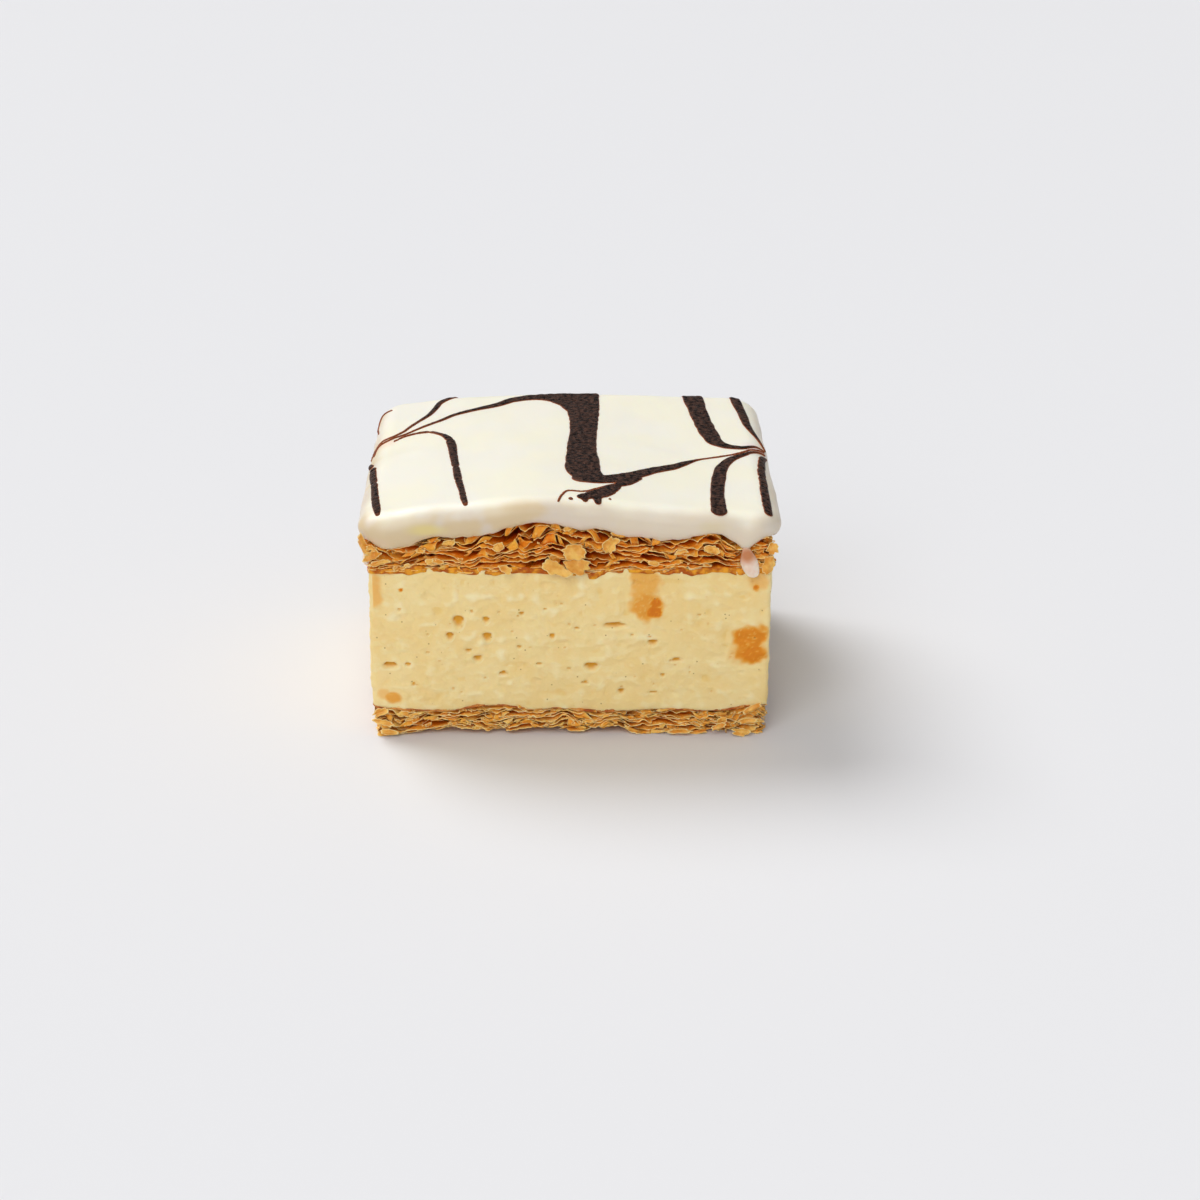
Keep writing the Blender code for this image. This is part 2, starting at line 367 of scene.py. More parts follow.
shader.inputs["Subsurface Radius"].default_value = (1.0, 0.8, 0.5)
shader.inputs["Subsurface Scale"].default_value = 1.6 * MM
roughen(tree, shader, place, 4.5, 1.1, 0.2, 0.022)
icing.data.materials.append(fondant)
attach(icing, "root")
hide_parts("icing")

# ---------------------------------------------------------------------------------------------
# The feathering. Lines of warm dark chocolate are piped over the wet icing and a skewer is drawn
# through them from side to side, which pulls them into points. They set as thin wrinkled ribbons.

FEATHER_CELL = 0.19
FEATHER_RISE = 0.30
FEATHER_ROUND = 0.55
FEATHER_SUNK = 0.35
# Each ribbon: (right, back, width) in mm over the icing as if it were rolled flat, and the spacing of its creases
RIBBONS = [
    ([(3.2, 38.6, 7), (3.2, 33.6, 6.8), (3.2, 19.2, 6.6), (3, 7.2, 5.9), (2.6, -2.4, 6.2), (2.7, -11.6, 6.9),
      (3.0, -18.4, 7.4), (4.0, -21.2, 6.0)], 0),
    ([(2.4, -22.6, 4.0), (5.4, -22.4, 4.4), (9, -21.3, 4.4), (13.2, -18.4, 3.6), (17, -14.8, 3.0), (21.2, -11.8, 2.5),
      (24.4, -8.6, 1.5), (26.4, -6.8, 0.8), (31.4, -4, 0.6), (34.6, -2.2, 0.6), (38.4, 1, 0.6), (41.4, 3, 0.5)], 0),
    ([(14.2, -20.2, 1.0), (12.4, -21.9, 2.3), (11.0, -23.4, 2.7), (9.7, -25.2, 1.5), (8.8, -26.6, 2.6), (7.4, -29.0, 3.5),
      (5.6, -31.2, 3.9), (3.6, -32.6, 3.2), (2.4, -33.2, 2.0)], 2.9),
    ([(5.4, -33.4, 1.8), (5.6, -34.9, 1.3)], 0),
    ([(3.0, -34.3, 1.2), (3.1, -34.6, 1.1)], 0),
    ([(0.2, -34.2, 0.9), (0.3, -34.3, 0.85)], 0),
    ([(7.9, -33.2, 0.6), (8.0, -33.3, 0.55)], 0),
    ([(10.2, -23.4, 0.6), (6, -27.2, 0.5), (2.6, -30.2, 0.5), (-0.4, -30.2, 0.6), (-1.6, -33, 0.6), (-2.2, -35.2, 0.5)], 0),
    ([(-8.0, 31.2, 2.4), (-4.0, 30.4, 4.2), (-0.6, 28.0, 5.4), (1.6, 23.0, 5.2), (2.6, 16.0, 5.0)], 0),
    ([(2.0, 33.4, 6.5), (-0.8, 32.0, 5.0), (-5.6, 31.3, 3.6), (-10.2, 30.6, 3.0), (-12.6, 29.6, 2.7), (-15.8, 26.8, 2.3),
      (-19, 25, 1.8), (-22.2, 23.2, 1.6), (-25.2, 21, 1.2), (-28.2, 17.8, 1.05), (-30.8, 15.8, 0.95), (-33.2, 13.8, 0.8),
      (-35.6, 11.8, 0.7), (-37.4, 10.6, 0.7), (-39.2, 9.4, 0.65), (-41, 8.6, 0.6), (-41.8, 4.6, 0.5)], 0),
    ([(-24.0, 37.6, 1.2), (-26.2, 33.8, 1.4), (-28.4, 31, 1.5), (-29.4, 27.2, 1.4), (-30.8, 22.6, 1.2), (-32.6, 19.4, 1.0),
      (-34, 17, 0.9), (-36, 13.4, 0.8), (-38, 11.4, 0.7), (-40, 10.6, 0.6), (-41.8, 8.2, 0.5), (-43, 5, 0.5)], 0),
    ([(-37.2, 8.6, 0.6), (-34.8, 11, 0.75), (-32.4, 11.8, 0.9), (-29.8, 11.4, 1.0), (-27.6, 9.4, 1.0), (-26.4, 7.8, 1.2),
      (-25.4, 5.6, 1.7), (-24.8, 2.6, 1.9), (-24, -5, 1.7), (-23.2, -12.4, 1.6), (-22.2, -21.4, 1.5), (-21.4, -26.8, 1.3),
      (-20.8, -32, 1.25), (-20.4, -34.4, 1.0)], 3.6),
    ([(-42.2, -1.2, 1.3), (-41.6, -3.2, 1.4)], 0),
    ([(-41.0, -5.6, 1.6), (-40.4, -12.0, 1.65), (-39.6, -19, 1.5), (-39, -25.2, 1.6), (-38.2, -30.8, 1.5),
      (-37.8, -34.0, 1.2)], 3.8),
    ([(-39.4, 30.2, 0.6), (-41.5, 30.6, 0.7), (-42.8, 28.2, 0.7), (-42.2, 19.8, 0.5)], 0),
    ([(27.2, 38.4, 4.6), (27.4, 33.8, 4.7), (28, 25.2, 4.3), (28.8, 16.8, 4.1), (30, 8.6, 4.0), (31.4, 3.6, 3.2),
      (33.6, 1.9, 2.4), (36.6, 1.7, 1.5), (39.8, 3.6, 0.9), (41.6, 4.0, 0.6)], 0),
    ([(36.6, 37.2, 2.4), (37, 31.4, 2.45), (37.8, 24, 2.3), (38.8, 14.6, 1.8), (40.4, 9.4, 1.2), (42, 5.2, 0.6)], 0),
    ([(41.6, 1.8, 0.6), (39.4, 0.3, 0.9), (36.4, -2.4, 1.4), (33.8, -5, 2.0), (31.6, -9.6, 2.6), (30.4, -16.4, 2.9),
      (29.6, -24.6, 2.9), (29.4, -31, 3.1), (29.4, -34.2, 3.3)], 0),
    ([(42.2, 0.6, 0.5), (41.2, -0.8, 1.3), (40, -7, 1.8), (39.6, -12.8, 1.8), (39.4, -20.4, 1.8), (39.4, -26.8, 1.9),
      (39.4, -33.4, 1.8)], 2.8),
]


def on_icing(flat, lift):
    """Lays points of the rolled-flat icing on its skin and lifts them off it, in mm."""
    core = ICING_HALF - ICING_CORNER
    centre = np.clip(flat, -core, core)
    away = flat - centre
    reach = np.linalg.norm(away, axis=1)
    facing = np.divide(away, reach[:, None], out=np.zeros_like(away), where=reach[:, None] > 1e-6)
    edge = centre + facing * ICING_CORNER
    drop = (1 - ICING_BELLY) * (icing_top(edge) - lip_line(edge, facing))
    turn = np.linspace(0, math.pi / 2, 46)
    bend = np.hypot(ICING_SHOULDER * np.cos(turn), drop[:, None] * np.sin(turn))
    run = np.cumsum((bend[:, 1:] + bend[:, :-1]) / 2, 1) * turn[1]
    over = np.clip(reach - (ICING_CORNER - ICING_SHOULDER), 0, None)
    step = (run < over[:, None]).sum(1).clip(0, 44)
    before = np.where(step > 0, np.take_along_axis(run, (step - 1).clip(0)[:, None], 1)[:, 0], 0)
    after = np.take_along_axis(run, step[:, None], 1)[:, 0]
    turned = turn[step] + np.clip((over - before) / (after - before), 0, 1) * turn[1]
    skin = icing_skin(centre, facing, math.pi / 2 - turned)
    flat_top = over <= 0
    skin[flat_top] = np.c_[flat, icing_top(flat)][flat_top]
    skin = settle(skin, np.where(flat_top[:, None], 0, facing))
    out = np.c_[facing * (np.sin(turned) * drop / np.maximum(drop, 1e-6))[:, None], np.cos(turned)]
    return skin + out / np.linalg.norm(out, axis=1)[:, None] * lift[:, None]


def follow(keys, spacing=0.25):
    """Reads keys of (right, back, width) at even steps along the soft line through them."""
    keys = np.array(keys, float)
    run = np.r_[0, np.cumsum(np.linalg.norm(np.diff(keys[:, :2], axis=0), axis=1))]
    at = np.arange(0, run[-1] + spacing / 2, spacing)
    return np.stack([soft_line(np.c_[run, column], at) for column in keys.T], 1), at


def in_ribbons(flat):
    """How far inside a ribbon each point lies, its place along and across it and over a crease, and its breadth."""
    depth = np.full(len(flat), -3.0)
    grain = np.zeros((len(flat), 4))
    for number, (keys, crease) in enumerate(RIBBONS):
        line, at = follow(keys)
        line[:, 2] *= 1 + 0.05 * uneven(np.c_[at, 0 * at, 0 * at], 2.2, 20 + number)
        fold = np.zeros(len(at))
        if crease:
            fold = np.exp(-((((at + 0.18 * crease * np.sin(at)) % crease) - crease / 2) ** 2) / 0.09)
            line[:, 2] *= 1.04 - 0.30 * fold
        low, high = line[:, :2].min(0) - 5, line[:, :2].max(0) + 5
        near = np.flatnonzero(((flat > low) & (flat < high)).all(1))
        ahead = np.gradient(line[:, :2], axis=0)
        ahead /= np.linalg.norm(ahead, axis=1)[:, None]
        for part in np.array_split(near, len(near) // 20000 + 1):
            gap = line[:, 2] / 2 - np.linalg.norm(flat[part, None] - line[:, :2], axis=2)
            best = gap.argmax(1)
            inside = gap[np.arange(len(part)), best]
            off = flat[part] - line[best, :2]
            here = inside > depth[part]
            across = off[:, 1] * ahead[best, 0] - off[:, 0] * ahead[best, 1]
            grain[part[here]] = np.c_[at[best] + number * 37, across, fold[best], line[best, 2]][here]
            joined = np.maximum(0.5 - np.abs(inside - depth[part]), 0) ** 2 / 2
            depth[part] = np.maximum(inside, depth[part]) + joined
    return depth, grain


span = ICING_HALF + 3.0
cells = np.rint(2 * span / FEATHER_CELL).astype(int)
deselect_all()
bpy.ops.mesh.primitive_grid_add(x_subdivisions=int(cells[0]), y_subdivisions=int(cells[1]), size=2.0)
feathering = bpy.context.object
feathering.name = feathering.data.name = "chocolate_feathering"
depth, grain = in_ribbons(corners_of(feathering)[:, :2] * span)
loops = np.empty(len(feathering.data.loops), int)
feathering.data.loops.foreach_get("vertex_index", loops)
bare = (depth[loops.reshape(-1, 4)] < 0.3 * FEATHER_CELL).all(1)
bpy.ops.object.mode_set(mode="EDIT")
bpy.ops.mesh.select_mode(type="FACE")
bpy.ops.mesh.select_all(action="DESELECT")
sheet = bmesh.from_edit_mesh(feathering.data)
for face, outside in zip(sheet.faces, bare):
    face.select_set(bool(outside))
bmesh.update_edit_mesh(feathering.data)
bpy.ops.mesh.delete(type="FACE")
bpy.ops.mesh.select_all(action="SELECT")
bpy.ops.mesh.extrude_region_move(TRANSFORM_OT_translate={"value": (0, 0, 1)})
bpy.ops.mesh.select_all(action="SELECT")
bpy.ops.mesh.normals_make_consistent(inside=False)
bpy.ops.object.mode_set(mode="OBJECT")
flat = corners_of(feathering)
upper = flat[:, 2] > 0.5
flat = flat[:, :2] * span
for _ in range(3):
    depth, grain = in_ribbons(flat)
    outer = np.flatnonzero(depth < 0.3 * FEATHER_CELL)
    nudge = 0.04
    slope = np.stack([in_ribbons(flat[outer] + step)[0] - in_ribbons(flat[outer] - step)[0]
                      for step in ((nudge, 0), (0, nudge))], 1) / (2 * nudge)
    steep = np.maximum((slope**2).sum(1), 0.3)
    flat[outer] -= slope * (depth[outer] / steep)[:, None]
depth, grain = in_ribbons(flat)
edge_in = np.clip(depth / FEATHER_ROUND, 0, 1)
lift = FEATHER_RISE * np.sqrt(1 - (1 - edge_in) ** 2)
lift += edge_in * (0.07 * uneven(np.c_[flat, 0 * depth], 1.6, 7) + 0.06 * uneven(np.c_[flat * (0.7, 1.5), 0 * depth], 0.75, 8))
lift -= 0.19 * grain[:, 2] * edge_in
lift = np.where(upper, np.maximum(lift, 0.02), -FEATHER_SUNK)
move_corners(feathering, on_icing(flat, lift))
give_value(feathering, "inward", depth)
give_value(feathering, "along", grain[:, 0])
give_value(feathering, "across", grain[:, 1])
give_value(feathering, "breadth", grain[:, 3])
feathering.data.shade_smooth()

dark_chocolate, tree, shader = finish_of("dark_chocolate", 0.4, 0.09)
strand = tree.nodes.new("ShaderNodeCombineXYZ")
feed(tree, strand.inputs["X"], sum_of(tree, "MULTIPLY", stored(tree, "along"), 1.3))
feed(tree, strand.inputs["Y"], stored(tree, "across"))
wrinkles = clouds(tree, strand.outputs["Vector"], 1.1, 4.0)
inward, breadth = stored(tree, "inward"), stored(tree, "breadth")
# The light and dark along the wrinkles is painted light and shade of the wrinkles, over the chocolate's own dark brown.
deep = blend(tree, reach(tree, wrinkles, 0.40, 0.62), colour(24, 10, 6), colour(86, 58, 46))
smear = blend(tree, reach(tree, wrinkles, 0.4, 0.6), colour(188, 104, 62), colour(128, 66, 40))
deep = blend(tree, reach(tree, breadth, 0.55, 1.25), smear, deep)
fringe = blend(tree, reach(tree, inward, -0.05, 0.10), colour(212, 134, 86), colour(124, 60, 34))
feed(tree, shader.inputs["Base Color"], blend(tree, reach(tree, inward, 0.05, 0.22), fringe, deep))
feed(tree, shader.inputs["Roughness"], reach(tree, wrinkles, 0.3, 0.7, 0.22, 0.46))
pores = sum_of(tree, "MULTIPLY", reach(tree, clouds(tree, place_mm(tree), 0.62, 2.0), 0.36, 0.56), 0.8)
roughen(tree, shader, strand.outputs["Vector"], 0.8, 0.35, 0.5, 0.34, pores)
feathering.data.materials.append(dark_chocolate)
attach(feathering, "root")
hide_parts("icing")

# ---------------------------------------------------------------------------------------------
# The drips. A little thinned fondant ran off the lip at the front right and on the left side and
# set as drops against the pastry, pinkish and half clear where they are thin.


def hang_drop(name, top, foot, wide, thick, fullest):
    """A drop between two points, tapered upward, at its fullest that share of the way down."""
    deselect_all()
    bpy.ops.mesh.primitive_uv_sphere_add(segments=40, ring_count=28, radius=1.0)
    drop = bpy.context.object
    drop.name = drop.data.name = name
    at = corners_of(drop)
    down = (1 - at[:, 2]) / 2
    round_part = np.sqrt(np.clip(1 - at[:, 2] ** 2, 0, None))
    girth = np.where(down < fullest, 0.42 + 0.58 * stepped(0.0, fullest, down), 1.0)
    girth *= 1 + 0.06 * uneven(at, 0.7, 50)
    place = np.outer(1 - down, top) + np.outer(down, foot)
    reach_out = at[:, :2] / np.maximum(round_part, 1e-6)[:, None] * (round_part**0.6)[:, None]
    place[:, 0] += reach_out[:, 0] * wide / 2 * girth
    place[:, 1] += reach_out[:, 1] * thick / 2 * girth
    move_corners(drop, place)
    drop.data.shade_smooth()
    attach(drop, "root")
    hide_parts("icing")
    return drop


def stepped(low, high, values):
    """0 below low, 1 above high, and a soft step between."""
    part = np.clip((np.asarray(values) - low) / (high - low), 0, 1)
    return part * part * (3 - 2 * part)


drops = [hang_drop("front_drip", (34.5, -36.2, 41.9), (36.2, -36.3, 34.8), 3.5, 2.0, 0.6),
         hang_drop("left_drip", (-40.0, -34.9, 41.4), (-40.2, -34.9, 37.3), 1.5, 1.6, 0.6)]
thin_fondant, tree, shader = finish_of("thin_fondant", 0.2)
place = place_mm(tree)
drop_shade = blend(tree, reach(tree, clouds(tree, place, 2.0), 0.35, 0.65), colour(240, 212, 190), colour(246, 232, 216))
drop_shade = smudge(tree, place, drop_shade, (34.9, -36.8, 39.6), (2.8, 3, 2.6), 1.0, colour(204, 132, 80), 0.95)
feed(tree, shader.inputs["Base Color"], drop_shade)
shader.inputs["Subsurface Weight"].default_value = 0.6
shader.inputs["Subsurface Radius"].default_value = (1.0, 0.7, 0.5)
shader.inputs["Subsurface Scale"].default_value = 1.0 * MM
roughen(tree, shader, place, 1.6, 0.5, 0.2, 0.06)
for drop in drops:
    drop.data.materials.append(thin_fondant)

# ---------------------------------------------------------------------------------------------
# The leaves of the pastry. Dough folded with butter bakes into crisp sheets that lift off each
# other and touch again, so that a cut side shows ragged pale rims with long thin hollows between.

LEAF_COLUMNS = 1200
LEAF_CORNER = 1.4
LEAF_THICK = 0.14
LEAF_INSETS = [12, 7, 4.2, 2.6, 1.6, 0.9, 0.45, 0.18, 0.05]
LEAF_DEPTHS = np.array([-1, 0, 0.7, 1.5, 2.6, 4.2, 7, 11, 16])
LID_HALF = np.array([40.7, 35.75])
BASE_HALF = np.array([39.9, 35.2])

# Heights in mm along the front, which the other sides take in turn: the foot and top of each stack of leaves
LID_FOOT = [(-41, 36.3), (-34, 36.2), (-27, 36.6), (-20, 35.9), (-12, 36.2), (-4, 36.0), (3, 35.6),
            (10, 36.2), (18, 35.9), (26, 36.2), (33, 36.0), (41, 36.3)]
BASE_FOOT = [(-41, 0.25), (-36, 0.15), (-33, 0.6), (-29, 1.0), (-25, 1.8), (-20, 1.3), (-14, 1.0), (-9, 1.5),
             (-3, 1.3), (2, 0.9), (6, 1.2), (10, 1.9), (13, 0.6), (17, 0.2), (21, 0.8), (25, 0.3), (30, 0.5),
             (34, 0.2), (41, 0.5)]
BASE_TOP = [(-41, 6.8), (-36, 6.5), (-30, 6.1), (-24, 6.0), (-18, 7.0), (-14, 7.1), (-8, 6.2), (-2, 6.4),
            (4, 5.7), (12, 5.9), (18, 6.1), (26, 5.7), (32, 5.9), (36, 6.6), (41, 7.2)]


def round_the_sides(keys, edge, facing):
    """Reads heights given along the front for all four sides."""
    ends = np.where(facing[:, 1] < 0, soft_line(keys, edge[:, 0]), soft_line(keys, -edge[:, 0]))
    across = edge[:, 1] * 1.13
    sides = np.where(facing[:, 0] < 0, soft_line(keys, -across), soft_line(keys, across))
    return facing[:, 1] ** 2 * ends + facing[:, 0] ** 2 * sides


def cracked(turns, length, shut, seed):
    """A brittle line round the slice: straight runs about length long between sharp bends, some of them at 0."""
    dice = np.random.default_rng(seed)
    bends = [0.0]
    while bends[-1] < LEAF_COLUMNS - 8:
        bends.append(bends[-1] + dice.uniform(0.35, 1.7) * length / 0.25)
    level = np.where(dice.random(len(bends)) < shut, 0, dice.uniform(0.25, 1, len(bends)))
    return np.interp(turns % LEAF_COLUMNS, bends, level, period=LEAF_COLUMNS)


def leaf_heights(columns, insets, stack):
    """The height of each leaf of a stack, from gaps of (size, length) that open and close between the leaves."""
    foot, top = stack["foot"][columns], stack["top"][columns]
    opened = [np.zeros(len(columns))]
    level = np.clip(np.searchsorted(LEAF_DEPTHS, insets) - 1, 0, len(LEAF_DEPTHS) - 2)
    part = np.clip((insets - LEAF_DEPTHS[level]) / (LEAF_DEPTHS[level + 1] - LEAF_DEPTHS[level]), 0, 1)
    for number, (size, length) in enumerate(stack["gaps"]):
        seed = stack["seed"] + number
        slant = math.sin(seed * 2.4) * 4.0
        puffed = stack["puffed"][number]
        puff = (1 - part) * puffed[level, columns] + part * puffed[level + 1, columns]
        opened.append(size * (cracked(columns + slant * insets, length, 0.34, seed) + 0.24 * puff + 0.05))
    share = np.cumsum(opened, 0) / np.sum(opened, 0)
    solid = LEAF_THICK * np.arange(len(opened))[:, None]
    return foot + solid + (top - foot - solid[-1]) * share


def leaf_points(stack, columns, insets):
    """Plan points of a stack's leaves at columns and distances in from its nominal outline."""
    flat = stack["centre"][columns] * (1 - np.asarray(insets) / stack["half"].min())[:, None]
    return flat + stack["facing"][columns] * LEAF_CORNER


def lay_out(half, foot, top, gaps, seed):
    """What the leaves of one stack share: their outline, the heights that they run between and how each gap puffed."""
    centre, facing, _ = walk_round(LEAF_COLUMNS, half, LEAF_CORNER)
    centre *= half - LEAF_CORNER
    edge = centre + facing * LEAF_CORNER
    puffed = [[np.abs(uneven(np.c_[edge - facing * depth, np.zeros(LEAF_COLUMNS)], 2.2, seed + number))
               for depth in LEAF_DEPTHS] for number in range(len(gaps))]
    return {"half": half, "centre": centre, "facing": facing, "gaps": gaps, "seed": seed, "edge": edge,
            "foot": round_the_sides(foot, edge, facing), "top": top(edge, facing), "puffed": np.array(puffed)}


def leaf_at(stack, number, columns, insets):
    """Points on one leaf of a stack."""
    flat = leaf_points(stack, columns, insets)
    return np.c_[flat, leaf_heights(columns, np.asarray(insets), stack)[number]]


def bake_leaf(blank, stack, number, column, ring, torn, name):
    """Copies the blank sheet and shapes it as one leaf of a stack."""
    leaf = blank.copy()
    leaf.data = blank.data.copy()
    leaf.name = leaf.data.name = name
    bpy.context.scene.collection.objects.link(leaf)
    edge = np.c_[stack["edge"], np.full(LEAF_COLUMNS, number * 6.0)]
    seed = stack["seed"] + 40 + number
    rim = 0.45 + 0.42 * uneven(edge, 6, seed) + 0.30 * uneven(edge, 1.9, seed + 1) + 0.24 * uneven(edge, 0.7, seed + 2)
    rip = np.clip((uneven(edge, 7, seed + 3) - 0.22) / 0.2, 0, 1)
    rim = np.clip(rim, -0.3, None) + torn * rip * rip * (3 - 2 * rip)
    curl = 0.08 + 0.22 * uneven(edge, 4, seed + 4) + 0.14 * uneven(edge, 1.2, seed + 8)
    thick = LEAF_THICK * (1 + 0.55 * uneven(edge, 1.1, seed + 5))
    around = np.arange(LEAF_COLUMNS)
    rings = []
    for side, insets in ((-1, LEAF_INSETS), (0, [0.0]), (1, LEAF_INSETS[::-1])):
        for inset in insets:
            at = leaf_at(stack, number, around, rim + inset)
            at[:, 2] += side * thick / 2 - curl * math.exp(-inset / 0.7)
            at[:, 2] += 0.07 * uneven(at * (1, 1, 0), 1.3, seed + 6) + 0.07 * uneven(at * (1, 1, 0), 0.6, seed + 7)
            at[:, 2] = np.where(at[:, 2] < 0.15, 0.15 * np.exp(at[:, 2] / 0.15 - 1), at[:, 2])
            rings.append(at)
    rings = np.array(rings)
    depths = np.array(LEAF_INSETS + [0] + LEAF_INSETS[::-1])
    move_corners(leaf, rings[ring, column])
    give_value(leaf, "inset", depths[ring])
    give_value(leaf, "tone", np.full(len(ring), (number * 0.618 + 0.3) % 1))
    return leaf


def join_pieces(pieces, name):
    deselect_all()
    for piece in pieces:
        piece.select_set(True)
    bpy.context.view_layer.objects.active = pieces[0]
    bpy.ops.object.join()
    pieces[0].name = pieces[0].data.name = name
    pieces[0].data.shade_smooth()
    return pieces[0]


blank, column, ring = raise_walls("leaf_blank", LEAF_COLUMNS, 2 * len(LEAF_INSETS) + 1)
lid = lay_out(LID_HALF, LID_FOOT, lambda edge, facing: lip_line(edge * (ICING_HALF / LID_HALF), facing) + 0.35,
              [(0.7, 5), (0.9, 4), (0.5, 6), (1.0, 4), (0.7, 4.5), (1.1, 3.4), (0.8, 2.8), (1.2, 2.2), (1.0, 1.8)], 60)
base = lay_out(BASE_HALF, BASE_FOOT, lambda edge, facing: round_the_sides(BASE_TOP, edge, facing),
               [(0.8, 3), (1.0, 2.2), (0.6, 1.8), (0.9, 2.6), (0.6, 1.6), (0.9, 2.4), (0.6, 1.8), (0.7, 3)], 160)
lid_leaves = [bake_leaf(blank, lid, number, column, ring, 1.6, f"lid_leaf_{number}") for number in range(10)]
lid_lower = join_pieces(lid_leaves[:4], "lid_leaves_lower")
lid_middle = join_pieces(lid_leaves[4:7], "lid_leaves_middle")
lid_upper = join_pieces(lid_leaves[7:], "lid_leaves_upper")
base_leaves = [bake_leaf(blank, base, number, column, ring, 1.2, f"base_leaf_{number}") for number in range(9)]
base_lower = join_pieces(base_leaves[:3], "base_leaves_lower")
base_middle = join_pieces(base_leaves[3:6], "base_leaves_middle")
base_upper = join_pieces(base_leaves[6:], "base_leaves_upper")
bpy.data.objects.remove(blank)



def bake_colour(name, light, brown, deep, rims):
    """The finish of baked leaves: golden with browner patches, pale along the torn rims, and a painted darker orange
    shade further in from the rim, in the hollows between the leaves.
    """
    crisp, tree, shader = finish_of(name, 0.45, 0.2)
    place = place_mm(tree)
    inset, tone = stored(tree, "inset"), stored(tree, "tone")
    patchy = sum_of(tree, "ADD", clouds(tree, place, 3.2, 4.0), sum_of(tree, "MULTIPLY", tone, 0.22))
    face = blend(tree, reach(tree, patchy, 0.42, 0.72), colour(*light), colour(*brown))
    face = blend(tree, reach(tree, clouds(tree, place, 1.1, 3.0), 0.52, 0.70), face, colour(*rims[0]))
    # Painted shade: darker orange further in from the rim, where the hollows between the leaves lie in shade.
    face = blend(tree, reach(tree, inset, 0.3, 2.4), face, colour(*deep))
    rim = blend(tree, reach(tree, clouds(tree, place, 1.2), 0.36, 0.62), colour(*rims[1]), colour(*rims[2]))
    feed(tree, shader.inputs["Base Color"], blend(tree, reach(tree, inset, 0.02, 0.15), rim, face))
    feed(tree, shader.inputs["Roughness"], reach(tree, clouds(tree, place, 1.8), 0.3, 0.7, 0.34, 0.6))
    shader.inputs["Subsurface Weight"].default_value = 0.12
    shader.inputs["Subsurface Radius"].default_value = (0.8, 0.5, 0.2)
    shader.inputs["Subsurface Scale"].default_value = 0.4 * MM
    roughen(tree, shader, place_mm(tree, (1, 1, 2)), 0.9, 0.3, 0.5, 0.12)
    return crisp


lid_crisp = bake_colour("lid_leaf", (255, 184, 66), (244, 148, 36), (236, 122, 4), ((255, 208, 116), (255, 226, 156), (255, 200, 110)))
base_crisp = bake_colour("base_leaf", (255, 204, 104), (250, 172, 62), (240, 144, 22), ((255, 220, 140), (255, 234, 174), (255, 214, 130)))
for piece, finish, node in ((lid_lower, lid_crisp, "lid_pastry"), (lid_middle, lid_crisp, "lid_pastry"),
                            (lid_upper, lid_crisp, "lid_pastry"), (base_lower, base_crisp, "base_pastry"),
                            (base_middle, base_crisp, "base_pastry"), (base_upper, base_crisp, "base_pastry")):
    piece.data.materials.clear()
    piece.data.materials.append(finish)
    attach(piece, "root")
    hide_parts(node)

# ---------------------------------------------------------------------------------------------
# The custard. It is set firm between the two sheets and cut cold with a wet knife, which leaves
# smooth drawn faces, opens the air bubbles into small pits and drags soaked crumbs of pastry into it.

CUSTARD_HALF = np.array([40.15, 35.3])
CUSTARD_CORNER = 1.1
CUSTARD_COLUMNS = 1000
CUSTARD_ROWS = 88
# Pits of the front: place right of the middle, height, width and height of the pit in mm. The other sides get the like
PITS = [(-22.3, 25.2, 2.4, 2.4), (-16.8, 25.5, 1.6, 1.3), (-24.1, 22.1, 1.7, 1.5), (-16.6, 21.8, 2.1, 1.8),
        (-18.6, 17.1, 2.0, 1.3), (-20.5, 18.9, 1.5, 0.8), (-9.7, 26.8, 1.3, 0.8), (-3.6, 21.9, 1.4, 1.1),
        (-10.2, 19.6, 1.1, 0.7), (-6.3, 15.9, 1.6, 0.5), (-13.5, 13.9, 1.9, 0.8), (-17.2, 12.9, 1.0, 0.5),
        (-0.1, 24.4, 0.8, 0.6), (1.4, 23.7, 1.3, 0.6), (-0.3, 14.8, 0.9, 0.6), (-36.2, 15.9, 3.0, 1.2),
        (-32.6, 16.0, 1.4, 0.9), (-31.6, 11.6, 1.2, 0.6), (8.8, 24.3, 4.9, 1.0), (16.5, 20.5, 2.1, 1.2),
        (4.2, 15.3, 2.9, 1.5), (3.0, 11.8, 1.7, 0.6), (10.2, 9.8, 1.5, 1.0), (16.7, 9.5, 2.1, 0.5),
        (21.2, 16.6, 2.9, 0.7), (18.6, 13.2, 1.1, 0.7), (-19.6, 27.3, 1.0, 0.6), (-5.0, 27.8, 1.0, 0.5)]
